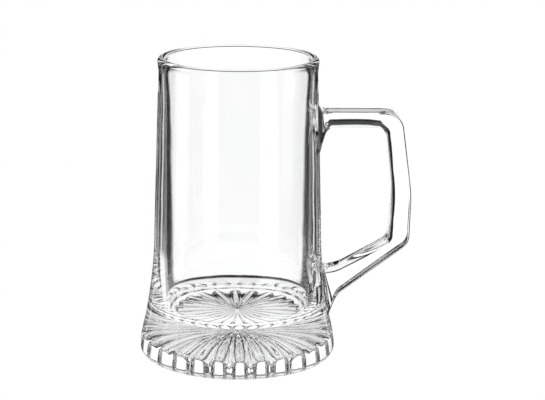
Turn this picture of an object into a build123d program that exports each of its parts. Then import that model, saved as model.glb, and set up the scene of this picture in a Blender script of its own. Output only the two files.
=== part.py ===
from build123d import *
import math
import os

# A clear glass beer mug of about half a litre: a pressed body with a star pressed up
# into its foot, and a square-shouldered handle sealed to its wall.
# Millimetres, +Z up. The origin is on the body's axis, on the plane that the mug
# stands on. The handle points along +X and is symmetric about the XZ plane.

# ---- body: outside ----
mug_height = 155.0
rim_radius = 40.2           # outside, where the wall starts to turn over the rim
wall_foot_height = 60.0     # below this the wall starts to flare into the foot
wall_foot_radius = 42.75
waist_height = 45.0
waist_radius = 44.0
skirt_height = 25.5
skirt_radius = 46.5
shoulder_height = 12.0
shoulder_radius = 49.1
foot_radius = 49.9          # the widest ring of the foot
foot_round = 6.2            # quarter round between the widest ring and the table

# ---- body: inside ----
bore_radius = 37.2          # at the rim
bore_low_radius = 38.2      # just above the floor's corner
floor_height = 22.6
floor_corner = 8.0          # radius between the bore and the floor

# ---- foot: recess and star ----
rays = 24
star_turn = 2.0             # degrees that the star is turned round the axis
recess_radius = 41.2        # inner edge of the ring that the mug stands on
recess_shoulder_radius = 38.5
recess_shoulder_height = 3.6
recess_top_radius = 3.0
recess_top_height = 14.2
ray_tip_radius = 0.4        # radius of a ray's cone near the axis
ray_tip_reach = 3.0         # how far from the axis the cone starts
ray_tip_height = 14.6
ray_end_radius = 5.3        # radius of the cone and of its round end
ray_end_reach = 37.0
ray_end_height = 3.6

# ---- handle: corners of its outline seen from the side, as (X, Z), with their radii ----
handle_width = 16.0         # along Y
edge_round = 3.0            # rounding of the handle's long edges
arm_top = 127.8
arm_underside = 119.4
outer_corners = [
    (33.0, 136.6),          # inside the wall, above the upper weld
    (46.4, arm_top),        # the weld's flare on top of the arm
    (82.2, arm_top),        # shoulder
    (87.8, 86.0),           # widest part of the grip
    (87.0, 60.7),           # elbow
    (51.5, 34.3),           # where the lower arm thickens into its weld
    (43.0, 18.6),           # inside the foot, below the lower weld
]
outer_rounds = [6.0, 8.8, 70.0, 8.0, 8.0]
inner_corners = [
    (36.0, 90.6),           # inside the wall, below the upper weld
    (45.2, arm_underside),  # the weld's long flare under the arm
    (74.4, arm_underside),  # inside of the shoulder
    (78.2, 86.0),
    (76.5, 62.8),           # inside of the elbow
    (50.0, 48.1),
    (32.0, 47.0),           # inside the wall, above the lower weld
]
inner_rounds = [5.0, 4.5, 70.0, 4.0, 6.0]


def outside_profile():
    """Half section of the body's outer shape with no bore and no recess."""
    rim_round = (rim_radius - bore_radius) / 2
    rim_edge = mug_height - rim_round
    foot_centre = foot_radius - foot_round
    with BuildSketch(Plane.XZ) as sketch:
        with BuildLine():
            Line((0, 0), (foot_centre, 0))
            CenterArc((foot_centre, foot_round), foot_round, 270, 90)
            Spline(
                (foot_radius, foot_round),
                (shoulder_radius, shoulder_height),
                (skirt_radius, skirt_height),
                (waist_radius, waist_height),
                (wall_foot_radius, wall_foot_height),
                tangents=[(0, 1), (rim_radius - wall_foot_radius, rim_edge - wall_foot_height)],
            )
            Line((wall_foot_radius, wall_foot_height), (rim_radius, rim_edge))
            CenterArc((rim_radius - rim_round, rim_edge), rim_round, 0, 90)
            Line((rim_radius - rim_round, mug_height), (0, mug_height))
            Line((0, mug_height), (0, 0))
        make_face()
    return sketch.sketch


def bore_profile():
    """Half section of the space that the drink fills, with the rim's inner rounding."""
    rim_round = (rim_radius - bore_radius) / 2
    rim_edge = mug_height - rim_round
    with BuildSketch(Plane.XZ) as sketch:
        with BuildLine():
            Line((0, floor_height), (bore_low_radius - floor_corner, floor_height))
            CenterArc(
                (bore_low_radius - floor_corner, floor_height + floor_corner),
                floor_corner, 270, 90,
            )
            Line((bore_low_radius, floor_height + floor_corner), (bore_radius, rim_edge))
            CenterArc((bore_radius + rim_round, rim_edge), rim_round, 180, -90)
            Line((bore_radius + rim_round, mug_height), (0, mug_height))
            Line((0, mug_height), (0, floor_height))
        make_face()
    return sketch.sketch


def recess_profile():
    """Half section of the hollow under the foot, before the rays are pressed."""
    with BuildSketch(Plane.XZ) as sketch:
        with BuildLine():
            Polyline(
                (0, 0),
                (recess_radius, 0),
                (recess_shoulder_radius, recess_shoulder_height),
                (recess_top_radius, recess_top_height),
                (0, recess_top_height),
                close=True,
            )
        make_face()
    return sketch.sketch


def ray_cutter():
    """One ray of the star: a cone that lies along +X with a ball at its outer end."""
    reach = ray_end_reach - ray_tip_reach
    drop = ray_tip_height - ray_end_height
    length = math.hypot(reach, drop)
    along = Plane(
        origin=(ray_tip_reach, 0, ray_tip_height),
        x_dir=(0, 1, 0),
        z_dir=(reach, 0, -drop),
    )
    cone = Cone(
        ray_tip_radius, ray_end_radius, length,
        align=(Align.CENTER, Align.CENTER, Align.MIN),
    )
    ball = Pos(ray_end_reach, 0, ray_end_height) * Sphere(ray_end_radius)
    return along * cone + ball


def mug_body(outside):
    """The pressed body: wall, rim, floor and the starred foot."""
    body = outside - revolve(bore_profile(), Axis.Z)
    body -= revolve(recess_profile(), Axis.Z)
    cutter = ray_cutter()
    for index in range(rays):
        body -= Rot(0, 0, star_turn + index * 360 / rays) * cutter
    return body


def handle_outline():
    """Side view of the handle, with both ends run on into the wall."""
    with BuildSketch(Plane.XZ) as sketch:
        with BuildLine():
            FilletPolyline(*outer_corners, radius=outer_rounds)
            Line(outer_corners[-1], inner_corners[-1])
            FilletPolyline(*inner_corners, radius=inner_rounds)
            Line(inner_corners[0], outer_corners[0])
        make_face()
    return sketch.sketch


def handle(outside):
    """The handle, with rounded long edges, trimmed to the body's wall."""
    bar = extrude(handle_outline(), handle_width / 2, both=True)
    ends = {outer_corners[0], outer_corners[-1], inner_corners[0], inner_corners[-1]}
    flanks = bar.faces().sort_by(Axis.Y)
    long_edges = [
        edge for edge in flanks[0].edges() + flanks[-1].edges()
        if not {(round(end.X, 3), round(end.Z, 3)) for end in (edge @ 0, edge @ 1)} <= ends
    ]
    bar = fillet(long_edges, edge_round)
    return bar - outside


os.makedirs("parts", exist_ok=True)
outside = revolve(outside_profile(), Axis.Z)
export_step(mug_body(outside), "parts/mug_body.step")
export_step(handle(outside), "parts/handle.step")
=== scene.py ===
import math

import bpy
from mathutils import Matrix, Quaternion, Vector
from mathutils.geometry import interpolate_bezier


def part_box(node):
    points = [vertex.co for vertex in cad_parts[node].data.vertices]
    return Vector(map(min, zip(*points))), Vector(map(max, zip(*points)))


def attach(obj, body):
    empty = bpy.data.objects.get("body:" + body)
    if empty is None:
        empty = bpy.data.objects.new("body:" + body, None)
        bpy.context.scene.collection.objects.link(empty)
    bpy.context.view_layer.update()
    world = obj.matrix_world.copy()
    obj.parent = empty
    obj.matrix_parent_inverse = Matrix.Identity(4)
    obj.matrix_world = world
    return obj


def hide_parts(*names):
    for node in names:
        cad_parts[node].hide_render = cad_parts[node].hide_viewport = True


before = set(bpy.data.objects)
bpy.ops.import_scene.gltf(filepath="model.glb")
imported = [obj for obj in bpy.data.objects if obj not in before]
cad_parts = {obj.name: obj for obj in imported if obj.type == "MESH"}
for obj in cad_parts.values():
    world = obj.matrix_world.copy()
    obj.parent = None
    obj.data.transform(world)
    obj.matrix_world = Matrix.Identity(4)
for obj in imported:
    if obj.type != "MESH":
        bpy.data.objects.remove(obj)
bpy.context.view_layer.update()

# A clear glass beer mug: a pressed body with a star of rays under its foot, and an angular
# handle welded to its wall. Metres, +Z up, the body's axis at X = Y = 0, handle along +X.

mm = 0.001

# ---- sizes that come from the frame ----
body_low, body_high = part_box("mug_body")
handle_low, handle_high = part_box("handle")
height = body_high[2]
foot_radius = body_high[0]
grip_reach = handle_high[0]
handle_half_width = handle_high[1]

# ---- body ----
rim_radius = 40.2 * mm
bore_radius = 37.2 * mm
bore_low_radius = 38.2 * mm
rim_bead = 0.50 * mm             # how far the fire-polished rim stands proud of the wall
wall_foot = (42.75 * mm, 60.0 * mm)      # (radius, height) where the wall starts to flare
skirt = (46.45 * mm, 25.5 * mm)          # a point half way down the flare
skirt_lean = (0.165, -1.0)               # the flare's direction there
foot_round = 6.2 * mm
neck_drop = 5.0 * mm             # how far below the rim the wall starts to round over
floor_height = 22.6 * mm
floor_corner = 8.0 * mm
floor_rings = (0.75, 0.5, 0.25, 0.08)    # rings across the floor, as shares of its radius

# ---- star ----
rays = 24
ray_columns = 12                 # faces across one ray
star_turn = math.radians(2.0)
segments = rays * ray_columns
ray_depth_shape = 1.2            # a ray's rounding: its radius over its half width
# radius and height of a point on the middle of a ray and on the ridge between two rays
ray_middle_end = (42.1 * mm, 0.0)
ray_middle_arch = (38.6 * mm, 9.4 * mm)
ray_middle_tip = (3.0 * mm, 15.0 * mm)
ridge_end = (36.6 * mm, 0.0)
ridge_knee = (35.2 * mm, 4.6 * mm)
ridge_depth_tip = 0.2 * mm       # how deep the ridge stands below the ray at the middle
ridge_fade = 1.7                 # how quickly the ridges fade towards the middle
ray_end_power = 0.45             # below 1, the ray's end stands steeper with a tighter arch
wall_rows = 9                    # rows up the steep outer end of a ray
dome_rows = 14                   # rows from there to the middle

# ---- handle ----
arm_top = 127.8 * mm
arm_underside = 119.4 * mm
bend_steps = 9                   # stations round each bend of the bar
root_steps = 10                  # stations along each root, inside and beside the wall
run_steps = 4                    # stations along each straight run between two bends
# rounding (deep, wide) of the long edges on the bar's finger side, by station along the bar:
# the arm, the grip and the strut
finger_rounds = [
    (22, (5.6 * mm, 7.4 * mm)),
    (31, (2.8 * mm, 2.0 * mm)),
    (50, (2.8 * mm, 2.0 * mm)),
    (59, (3.2 * mm, 6.0 * mm)),
]
back_round = (1.2 * mm, 1.2 * mm)        # and on the outer side all along
edge_steps = 12                  # faces round each long edge
weld_slope = 0.34                # how steeply the weld spreads round each root
weld_reach = 1.9 * mm            # how far from the wall the spread starts
smooth_angle = math.radians(32)  # faces that meet at less than this are shaded as one surface
same_point = 1e-7                # points nearer than this, in metres, are one point
ring_gap = 1e-6                  # and so are the star's and the foot's where they are joined


# ------------------------------------------------------------------ helpers

def only(*objects):
    """Select these objects alone, the first one active."""
    if bpy.context.mode != "OBJECT":
        bpy.ops.object.mode_set(mode="OBJECT")
    bpy.ops.object.select_all(action="DESELECT")
    for piece in objects:
        piece.select_set(True)
    bpy.context.view_layer.objects.active = objects[0]


def edit(piece):
    """Enter edit mode on one object with nothing selected."""
    only(piece)
    bpy.ops.object.mode_set(mode="EDIT")
    bpy.ops.mesh.select_all(action="DESELECT")


def done():
    """Back to object mode."""
    bpy.ops.object.mode_set(mode="OBJECT")


def arc(centre, radius, start, end, steps):
    """Points on an arc in a plane, angles in degrees."""
    angles = [math.radians(start + (end - start) * i / steps) for i in range(steps + 1)]
    return [
        (centre[0] + radius * math.cos(a), centre[1] + radius * math.sin(a)) for a in angles
    ]


def bend(start, start_way, end, end_way, steps):
    """Points on a smooth curve in a plane that leaves and arrives along the given ways."""
    reach = math.dist(start, end) / 3
    first = Vector((*start, 0))
    last = Vector((*end, 0))
    out = first + Vector((*start_way, 0)).normalized() * reach
    into = last - Vector((*end_way, 0)).normalized() * reach
    return [(p.x, p.y) for p in interpolate_bezier(first, out, into, last, steps + 1)]


def join_points(*runs):
    """One list of points from several, without the repeated ends."""
    line = []
    for run in runs:
        for point in run:
            if not line or math.dist(line[-1], point) > same_point:
                line.append(point)
    return line


def mix(a, b, share):
    """The point that lies this share of the way from a to b."""
    return tuple(x + (y - x) * share for x, y in zip(a, b))


# ------------------------------------------------------------------ body

def body_profile():
    """(radius, height) from the foot ring up the outside, over the rim and down to the floor."""
    rim_round = (rim_radius - bore_radius) / 2
    rim_edge = height - rim_round
    foot_centre = foot_radius - foot_round
    wall_way = (rim_radius - wall_foot[0], rim_edge - wall_foot[1])
    foot = arc((foot_centre, foot_round), foot_round, -90, 0, 12)
    skirt_run = bend((foot_radius, foot_round), (0, 1), skirt,
                     (-skirt_lean[0], -skirt_lean[1]), 12)
    flare = bend(skirt, (-skirt_lean[0], -skirt_lean[1]), wall_foot, wall_way, 14)
    neck = (rim_radius, rim_edge - neck_drop)
    wall = [mix(wall_foot, neck, i / 8) for i in range(9)]
    bead = (rim_radius - rim_round, rim_edge - rim_bead)
    rim = arc(bead, rim_round + rim_bead, -8, 188, 20)
    bore_top = (bore_radius, rim_edge - neck_drop)
    corner_centre = (bore_low_radius - floor_corner, floor_height + floor_corner)
    bore = [mix(bore_top, (bore_low_radius, corner_centre[1]), i / 8) for i in range(9)]
    corner = arc(corner_centre, floor_corner, 0, -90, 14)
    floor = [(corner_centre[0] * share, floor_height) for share in floor_rings]
    return join_points(foot, skirt_run, flare, wall, rim, bore, corner, floor)


def turn_profile(name, profile):
    """A ring extruded and scaled from point to point of the profile, closed at the last."""
    radius, level = profile[0]
    bpy.ops.mesh.primitive_circle_add(
        vertices=segments, radius=radius, location=(0, 0, level), fill_type="NOTHING",
    )
    piece = bpy.context.object
    piece.name = name
    bpy.ops.object.transform_apply(location=True, rotation=True, scale=True)
    bpy.ops.object.mode_set(mode="EDIT")
    bpy.ops.mesh.select_all(action="SELECT")
    for (r0, z0), (r1, z1) in zip(profile, profile[1:]):
        bpy.ops.mesh.extrude_region_move(TRANSFORM_OT_translate={"value": (0, 0, z1 - z0)})
        bpy.ops.transform.resize(
            value=(r1 / r0, r1 / r0, 1), center_override=(0, 0, 0),
        )
    bpy.ops.mesh.extrude_region_move()
    bpy.ops.mesh.merge(type="CENTER")
    done()
    return piece


def ray_rows():
    """Pairs of (radius, height): on the middle of a ray and on its ridge, from the foot in."""
    middle_rise = [
        (
            ray_middle_arch[0]
            + (ray_middle_end[0] - ray_middle_arch[0]) * math.cos(t) ** ray_end_power,
            ray_middle_arch[1] * math.sin(t) ** (1 - ray_end_power * 0.2),
        )
        for t in (math.pi / 2 * i / wall_rows for i in range(wall_rows + 1))
    ]
    ridge_rise = [mix(ridge_end, ridge_knee, i / wall_rows) for i in range(wall_rows + 1)]
    middle_dome = []
    for i in range(1, dome_rows + 1):
        radius = mix(ray_middle_arch, ray_middle_tip, i / dome_rows)[0]
        drop = (ray_middle_tip[1] - ray_middle_arch[1]) * (radius / ray_middle_arch[0]) ** 2
        middle_dome.append((radius, ray_middle_tip[1] - drop))
    knee_depth = ray_middle_arch[1] - ridge_knee[1]
    ridge_dome = []
    for i, (radius, level) in enumerate(middle_dome, 1):
        fade = (1 - i / dome_rows) ** ridge_fade
        depth = ridge_depth_tip + (knee_depth - ridge_depth_tip) * fade
        ridge_dome.append((radius, level - depth))
    return list(zip(middle_rise + middle_dome, ridge_rise + ridge_dome))


def press_ray():
    """One ray of the star: a grid whose rows follow the ray's middle and its two ridges."""
    rows = ray_rows()
    bpy.ops.mesh.primitive_grid_add(
        x_subdivisions=ray_columns, y_subdivisions=len(rows) - 1, size=2,
    )
    ray = bpy.context.object
    ray.name = "star_ray"
    flat = math.sqrt(ray_depth_shape ** 2 - 1)
    for vertex in ray.data.vertices:
        across = vertex.co.x
        row = round((vertex.co.y + 1) / 2 * (len(rows) - 1))
        middle, ridge = rows[row]
        share = (math.sqrt(ray_depth_shape ** 2 - across ** 2) - flat) / (ray_depth_shape - flat)
        radius, level = mix(ridge, middle, share)
        if row == len(rows) - 1:
            radius, level = middle
        angle = star_turn + across * math.pi / rays
        vertex.co = (radius * math.cos(angle), radius * math.sin(angle), level)
    return ray


def press_star():
    """All the rays, copied round the axis, with the middle left open."""
    star = press_ray()
    star.name = "star"
    only(star)
    bpy.ops.object.mode_set(mode="EDIT")
    bpy.ops.mesh.select_all(action="SELECT")
    bpy.ops.mesh.spin(
        steps=rays - 1, dupli=True, angle=2 * math.pi * (rays - 1) / rays,
        center=(0, 0, 0), axis=(0, 0, 1),
    )
    bpy.ops.mesh.select_all(action="SELECT")
    bpy.ops.mesh.remove_doubles(threshold=ring_gap)
    done()
    return star


def close_star(body):
    """Bridge the foot's ring to the star, and close the star's middle with a pole."""
    edit(body)
    bpy.ops.mesh.select_mode(type="EDGE")
    bpy.ops.mesh.select_non_manifold(
        extend=False, use_wire=False, use_boundary=True,
        use_multi_face=False, use_non_contiguous=False, use_verts=False,
    )
    done()
    button = ray_middle_tip[0] * 1.5
    for edge in body.data.edges:
        ends = [body.data.vertices[i].co for i in edge.vertices]
        if edge.select and min(math.hypot(end.x, end.y) for end in ends) < button:
            edge.select = False
    bpy.ops.object.mode_set(mode="EDIT")
    bpy.ops.mesh.bridge_edge_loops()
    bpy.ops.mesh.select_all(action="DESELECT")
    bpy.ops.mesh.select_non_manifold(
        extend=False, use_wire=False, use_boundary=True,
        use_multi_face=False, use_non_contiguous=False, use_verts=False,
    )
    bpy.ops.mesh.extrude_region_move()
    bpy.ops.transform.resize(value=(0.5, 0.5, 1), center_override=(0, 0, 0))
    bpy.ops.mesh.extrude_region_move()
    bpy.ops.mesh.merge(type="CENTER")
    bpy.ops.mesh.select_all(action="SELECT")
    bpy.ops.mesh.remove_doubles(threshold=ring_gap)
    bpy.ops.mesh.normals_make_consistent(inside=False)
    done()


def make_body():
    """The turned shell, with the star joined to its foot."""
    body = turn_profile("glass_body", body_profile())
    only(body)
    bpy.ops.object.mode_set(mode="EDIT")
    bpy.ops.mesh.select_all(action="SELECT")
    # The operator turns the other way round here, so this brings a ring point to each ridge.
    bpy.ops.transform.rotate(
        value=-(star_turn + math.pi / rays), orient_axis="Z", center_override=(0, 0, 0),
    )
    done()
    star = press_star()
    only(body, star)
    bpy.ops.object.join()
    close_star(body)
    return body


# ------------------------------------------------------------------ handle

def rounded(corners, radii, steps):
    """Points on a path of straight runs whose inner corners are rounded, with even spacing."""
    line = [corners[0]]
    for before, corner, after, radius in zip(corners, corners[1:], corners[2:], radii):
        here = Vector(corner)
        back = (Vector(before) - here).normalized()
        on = (Vector(after) - here).normalized()
        half = back.angle(on) / 2
        cut = radius / math.tan(half)
        start, end = here + back * cut, here + on * cut
        centre = here + (back + on).normalized() * (radius / math.sin(half))
        for i in range(steps + 1):
            spoke = (start - centre).lerp(end - centre, i / steps).normalized()
            line.append(tuple(centre + spoke * radius))
    line.append(corners[-1])
    return line


# Corners of the handle's outline seen from the side, each outer one paired with an inner one.
outer_corners = [
    (38.0 * mm, 133.2 * mm), (43.4 * mm, arm_top), (82.2 * mm, arm_top),
    (grip_reach + 0.15 * mm, 86.0 * mm), (87.0 * mm, 60.7 * mm), (51.5 * mm, 34.3 * mm),
    (45.0 * mm, 22.2 * mm),
]
outer_radii = [3 * mm, 8.8 * mm, 70 * mm, 8 * mm, 8 * mm]
inner_corners = [
    (38.0 * mm, 97.0 * mm), (45.2 * mm, arm_underside), (74.4 * mm, arm_underside),
    (78.2 * mm, 86.0 * mm), (76.5 * mm, 62.8 * mm), (50.0 * mm, 48.1 * mm),
    (40.0 * mm, 47.4 * mm),
]
inner_radii = [5 * mm, 4.5 * mm, 150 * mm, 6 * mm, 22 * mm]


def stations():
    """Matched points on the outer and the inner edge, from the upper weld to the lower."""
    outer = rounded(outer_corners, outer_radii, bend_steps)
    inner = rounded(inner_corners, inner_radii, bend_steps)
    line = [(outer[0], inner[0])]
    bends = len(outer_radii)
    for bend_index in range(bends + 1):
        begin = bend_index * (bend_steps + 1)
        end = begin + 1
        steps = root_steps if bend_index in (0, bends) else run_steps
        for i in range(1, steps + 1):
            share = i / steps
            line.append((mix(outer[begin], outer[end], share), mix(inner[begin], inner[end], share)))
        if bend_index < bends:
            line += zip(outer[end + 1:end + bend_steps + 1], inner[end + 1:end + bend_steps + 1])
    return line


def finger_round(station):
    """Rounding of the finger side at a station along the bar."""
    station = max(finger_rounds[0][0], min(finger_rounds[-1][0], station))
    for (first, before), (last, after) in zip(finger_rounds, finger_rounds[1:]):
        if station <= last:
            return mix(before, after, (station - first) / (last - first))


def section(thickness, half_width, finger):
    """(across the thickness, along Y) points of the bar's section, anticlockwise."""
    half = thickness / 2
    points = []
    for out, right, start in ((1, 1, 0), (-1, 1, 90), (-1, -1, 180), (1, -1, 270)):
        deep, wide = back_round if out > 0 else finger
        for turn, lift in arc((0, 0), 1, start, start + 90, edge_steps):
            u = out * (half - deep) + turn * deep
            v = right * (half_width - wide) + lift * wide
            points.append((u, v))
    return points


def make_handle():
    """The bar: one ring of its section, extruded from station to station."""
    rings = []
    for station, (outer, inner) in enumerate(stations()):
        middle = Vector(((outer[0] + inner[0]) / 2, 0, (outer[1] + inner[1]) / 2))
        across = Vector((outer[0] - inner[0], 0, outer[1] - inner[1]))
        thickness = across.length
        across.normalize()
        spread = weld_spread(middle)
        shape = section(
            thickness + 2 * spread, handle_half_width + spread, finger_round(station),
        )
        rings.append([middle + across * u + Vector((0, v, 0)) for u, v in shape])
    count = len(rings[0])
    bpy.ops.mesh.primitive_circle_add(vertices=count, radius=10 * mm, fill_type="NGON")
    bar = bpy.context.object
    bar.name = "glass_handle"
    bpy.ops.object.mode_set(mode="EDIT")
    bpy.ops.mesh.select_all(action="SELECT")
    for _ in rings[1:]:
        bpy.ops.mesh.extrude_region_move(TRANSFORM_OT_translate={"value": (0, 0, mm)})
    done()
    for index, vertex in enumerate(bar.data.vertices):
        ring, place = divmod(index, count)
        vertex.co = rings[ring][place]
    edit(bar)
    bpy.ops.mesh.select_all(action="SELECT")
    bpy.ops.mesh.normals_make_consistent(inside=False)
    done()
    return bar


def weld_spread(middle):
    """How much the section grows near the wall."""
    outside = [point for point in body_profile() if point[0] > (rim_radius + bore_radius) / 2]
    wall_radius = min(outside, key=lambda point: abs(point[1] - middle.z))[0]
    return weld_slope * max(0.0, wall_radius + weld_reach - middle.x)


# ------------------------------------------------------------------ weld

def apply_boolean(piece, other, operation):
    """Cut one closed mesh by another, or keep what they share; faces keep their materials."""
    cut = piece.modifiers.new("weld", "BOOLEAN")
    cut.operation = operation
    cut.solver = "MANIFOLD"
    cut.object = other
    cut.material_mode = "TRANSFER"
    only(piece)
    bpy.ops.object.modifier_apply(modifier=cut.name)


def copy_of(piece, name):
    """A second object with a mesh of its own."""
    only(piece)
    bpy.ops.object.duplicate()
    twin = bpy.context.object
    twin.name = name
    return twin


def paint(piece, material):
    """One material all over."""
    piece.data.materials.clear()
    piece.data.materials.append(material)
    for face in piece.data.polygons:
        face.material_index = 0


def drop_faces(piece, material):
    """Delete the faces that carry this material."""
    slot = [slot.name for slot in piece.data.materials].index(material.name)
    # The old selection is cleared first, or loose vertices would take other faces with them.
    edit(piece)
    done()
    for face in piece.data.polygons:
        face.select = face.material_index == slot
    bpy.ops.object.mode_set(mode="EDIT")
    bpy.ops.mesh.select_mode(type="FACE")
    bpy.ops.mesh.delete(type="FACE")
    done()


def weld(body, bar, glass, bar_glass, seam):
    """Trim the bar to the wall, and mark the two matching weld faces as one clear seam."""
    marker = bpy.data.materials.new("marker")
    paint(body, glass)
    paint(bar, marker)
    notch = copy_of(body, "notch")
    patch = copy_of(body, "patch")
    wall = copy_of(body, "wall")
    apply_boolean(notch, bar, "DIFFERENCE")
    drop_faces(notch, marker)
    apply_boolean(patch, bar, "INTERSECT")
    drop_faces(patch, marker)
    paint(patch, seam)
    paint(wall, seam)
    paint(bar, bar_glass)
    apply_boolean(bar, wall, "DIFFERENCE")
    only(notch, patch)
    bpy.ops.object.join()
    bpy.ops.object.mode_set(mode="EDIT")
    bpy.ops.mesh.select_all(action="SELECT")
    bpy.ops.mesh.remove_doubles(threshold=same_point)
    bpy.ops.mesh.normals_make_consistent(inside=False)
    done()
    for left in (body, wall):
        bpy.data.objects.remove(left, do_unlink=True)
    notch.name = "glass_body"
    bpy.data.materials.remove(marker)
    return notch, bar


# ------------------------------------------------------------------ materials

class Value:
    """A socket that takes part in plain sums: each sum adds its Math node."""

    def __init__(self, tree, socket):
        self.tree = tree
        self.socket = socket

    def math(self, operation, *others):
        operands = [self, *others]
        return self.add("ShaderNodeMath", {"operation": operation}, dict(enumerate(operands)))

    def add(self, kind, settings=None, inputs=None, output=0):
        """Any node: its type, its settings, and the values or links of its sockets."""
        node = self.tree.nodes.new(kind)
        for name, setting in (settings or {}).items():
            setattr(node, name, setting)
        for place, value in (inputs or {}).items():
            if isinstance(value, Value):
                self.tree.links.new(value.socket, node.inputs[place])
            else:
                node.inputs[place].default_value = value
        return Value(self.tree, node.outputs[output] if len(node.outputs) else None)

    def step(self, low, high):
        """0 below low, 1 above high, smooth between; the other way round if low > high."""
        settings = {"interpolation_type": "SMOOTHSTEP"}
        ends = (low, high, 0.0, 1.0) if low < high else (high, low, 1.0, 0.0)
        return self.add("ShaderNodeMapRange", settings, {
            "Value": self, "From Min": ends[0], "From Max": ends[1],
            "To Min": ends[2], "To Max": ends[3],
        })

    def __add__(self, other):
        return self.math("ADD", other)

    def __sub__(self, other):
        return self.math("SUBTRACT", other)

    def __rsub__(self, other):
        return (self * -1.0) + other

    def __mul__(self, other):
        return self.math("MULTIPLY", other)

    def __truediv__(self, other):
        return self.math("DIVIDE", other)

    __radd__ = __add__
    __rmul__ = __mul__


# The pressed glass: its faint mould ripple, and the slight drift of its tint in the batch.
glass_index = 1.52
ripple_scale = 55.0              # ripples to the metre
ripple_height = 0.06 * mm
fine_ripple_scale = 260.0
fine_ripple_height = 0.005 * mm
batch_scale = 30.0
pale_batch = (1.0, 1.0, 1.0, 1)
tinted_batch = (0.988, 0.991, 0.993, 1)


def clear_glass(name):
    """Clear pressed glass: no grain, a faint ripple in its surface, a trace of tint."""
    material = bpy.data.materials.new(name)
    material.use_nodes = True
    tree = material.node_tree
    shader = tree.nodes["Principled BSDF"]
    shader.inputs["Roughness"].default_value = 0.0
    shader.inputs["IOR"].default_value = glass_index
    shader.inputs["Transmission Weight"].default_value = 1.0
    start = Value(tree, None)
    place = start.add("ShaderNodeTexCoord", output=3)
    ripple = start.add("ShaderNodeTexNoise", None, {
        "Vector": place, "Scale": ripple_scale, "Detail": 1.0,
    })
    fine = start.add("ShaderNodeTexNoise", None, {
        "Vector": place, "Scale": fine_ripple_scale, "Detail": 2.0,
    })
    relief = ripple * ripple_height + fine * fine_ripple_height
    bump = start.add("ShaderNodeBump", None, {"Distance": 1.0, "Height": relief})
    batch = start.add("ShaderNodeTexNoise", None, {
        "Vector": place, "Scale": batch_scale, "Detail": 2.0,
    })
    tint = start.add("ShaderNodeMix", {"data_type": "RGBA"}, {
        0: batch.step(0.35, 0.65), 6: pale_batch, 7: tinted_batch,
    }, output=2)
    tree.links.new(bump.socket, shader.inputs["Normal"])
    tree.links.new(tint.socket, shader.inputs["Base Color"])
    return material


def clear_seam():
    """Fused glass: nothing to see where the bar and the wall have become one."""
    material = bpy.data.materials.new("weld_seam")
    material.use_nodes = True
    nodes = material.node_tree.nodes
    nodes.clear()
    output = nodes.new("ShaderNodeOutputMaterial")
    through = nodes.new("ShaderNodeBsdfTransparent")
    material.node_tree.links.new(through.outputs[0], output.inputs["Surface"])
    return material


# ------------------------------------------------------------------ studio

# Only the glass sees this studio; the camera sees plain white. It is dark but for white
# screens: a backdrop behind the mug for four viewing directions, a strip light on either side
# of the first, and half a ceiling. From directions between the four the glass shows the dark.
# A backdrop is its azimuth in degrees from +Y towards +X, and the lowest and the highest sine
# of elevation.
backdrops = [(0, -0.45, 0.04), (135, -0.46, 0.06), (-45, -0.60, -0.29), (-90, -0.26, 0.10)]
backdrop_half_width = 13.0
backdrop_light = 1.14
strip_offset = 39.0
strip_half_width = 2.5
strip_light = 0.9
softness = 1.5                   # degrees that a screen's upright edges fade over
foot_softness = 0.02             # the same for its foot and its head, as a sine
head_softness = 0.04
base_shade = 0.02
sky_from = (0.30, 0.38)          # sine of elevation where the light ceiling starts
sky_side = (-0.2, 0.2)           # cosine of its azimuth from +Y where it starts
sky_light = 0.95
table_from = (-0.62, -0.54)      # sine of elevation where the table's white starts


def make_world():
    """The lit tent as the glass sees it; the camera itself sees plain white beyond the floor."""
    world = bpy.data.worlds.new("studio")
    bpy.context.scene.world = world
    world.use_nodes = True
    tree = world.node_tree
    tree.nodes.clear()
    start = Value(tree, None)
    way = start.add("ShaderNodeTexCoord", output=0)
    split = [start.add("ShaderNodeSeparateXYZ", None, {0: way}, output=i) for i in range(3)]
    x, y, z = split
    flat = (x * x + y * y).math("SQRT").math("MAXIMUM", 0.001)
    screens = []
    for azimuth, low, high in backdrops:
        screens.append((azimuth, backdrop_half_width, low, high, backdrop_light))
    for azimuth in (-strip_offset, strip_offset):
        screens.append((azimuth, strip_half_width, *backdrops[0][1:], strip_light))
    ceiling = z.step(*sky_from) * (y / flat).step(*sky_side) * sky_light
    tent = z.step(table_from[1], table_from[0]).math("MAXIMUM", ceiling)
    for azimuth, half_width, low, high, light in screens:
        turn = math.radians(azimuth)
        facing = (x * math.sin(turn) + y * math.cos(turn)) / flat
        edge_out = math.cos(math.radians(half_width + softness))
        edge_in = math.cos(math.radians(half_width - softness))
        screen = facing.step(edge_out, edge_in) * z.step(low - foot_softness, low + foot_softness)
        screen = screen * z.step(high + head_softness, high - head_softness) * light
        tent = tent.math("MAXIMUM", screen)
    tent = tent.math("MAXIMUM", base_shade)
    seen = start.add("ShaderNodeLightPath", output=0)
    level = tent * (1 - seen) + seen
    out = start.add("ShaderNodeBackground", None, {"Color": (1, 1, 1, 1), "Strength": level})
    start.add("ShaderNodeOutputWorld", None, {"Surface": out})


def glow_material(name, strength):
    """A plain white surface that gives its own light."""
    material = bpy.data.materials.new(name)
    material.use_nodes = True
    nodes = material.node_tree.nodes
    nodes.clear()
    output = nodes.new("ShaderNodeOutputMaterial")
    glow = nodes.new("ShaderNodeEmission")
    glow.inputs["Strength"].default_value = strength
    material.node_tree.links.new(glow.outputs[0], output.inputs["Surface"])
    return material


floor_size = 60.0
floor_drop = 0.4 * mm            # the floor lies this far under the foot
table_radius = 52 * mm
table_drop = 0.2 * mm


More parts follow.
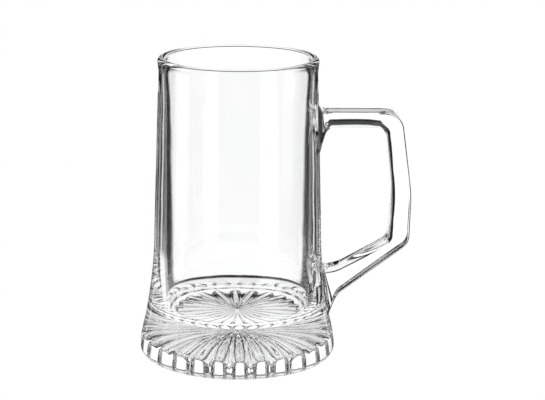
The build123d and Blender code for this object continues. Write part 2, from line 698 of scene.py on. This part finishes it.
def make_floor():
    """A pale floor, and the lit patch of table that the foot stands on."""
    bpy.ops.mesh.primitive_plane_add(size=floor_size, location=(0, 0, -floor_drop))
    floor = bpy.context.object
    floor.name = "studio_floor"
    paint(floor, glow_material("pale_floor", 1.0))
    floor.visible_transmission = False
    floor.visible_glossy = False
    bpy.ops.mesh.primitive_circle_add(
        vertices=96, radius=table_radius, location=(0, 0, -table_drop), fill_type="NGON",
    )
    table = bpy.context.object
    table.name = "light_table"
    paint(table, glow_material("table_light", backdrop_light))


camera_distance = 1.1
camera_elevation = math.radians(13.24)
camera_roll = math.radians(0.46)
camera_lens = 142.9
camera_aim = (17.6 * mm, 3.9 * mm)       # across from the mug's axis, and above its middle


def make_camera():
    """The viewpoint: a little above the rim, square to the handle."""
    target = Vector((0, 0, height / 2))
    way = Vector((0, -math.cos(camera_elevation), math.sin(camera_elevation)))
    spot = target + camera_distance * way
    aim = target + Vector((camera_aim[0], 0, camera_aim[1]))
    data = bpy.data.cameras.new("camera")
    data.lens = camera_lens
    data.sensor_width = 36
    camera = bpy.data.objects.new("camera", data)
    bpy.context.scene.collection.objects.link(camera)
    camera.location = spot
    camera.rotation_mode = "QUATERNION"
    look = (aim - spot).to_track_quat("-Z", "Y")
    camera.rotation_quaternion = look @ Quaternion((0, 0, 1), camera_roll)
    bpy.context.scene.camera = camera


# ------------------------------------------------------------------ build

bpy.ops.object.select_all(action="DESELECT")
glass = clear_glass("body_glass")
bar_glass = clear_glass("handle_glass")
seam = clear_seam()
body = make_body()
bar = make_handle()
body, bar = weld(body, bar, glass, bar_glass, seam)
for piece in (body, bar):
    only(piece)
    bpy.ops.object.shade_smooth_by_angle(angle=smooth_angle)

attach(body, "root")
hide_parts("mug_body")
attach(bar, "root")
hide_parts("handle")

make_world()
make_floor()
make_camera()

view = bpy.context.scene.view_settings
view.view_transform = "Standard"
cycles = bpy.context.scene.cycles
cycles.max_bounces = 32
cycles.transmission_bounces = 32
cycles.glossy_bounces = 16
cycles.transparent_max_bounces = 32
cycles.sample_clamp_indirect = 0
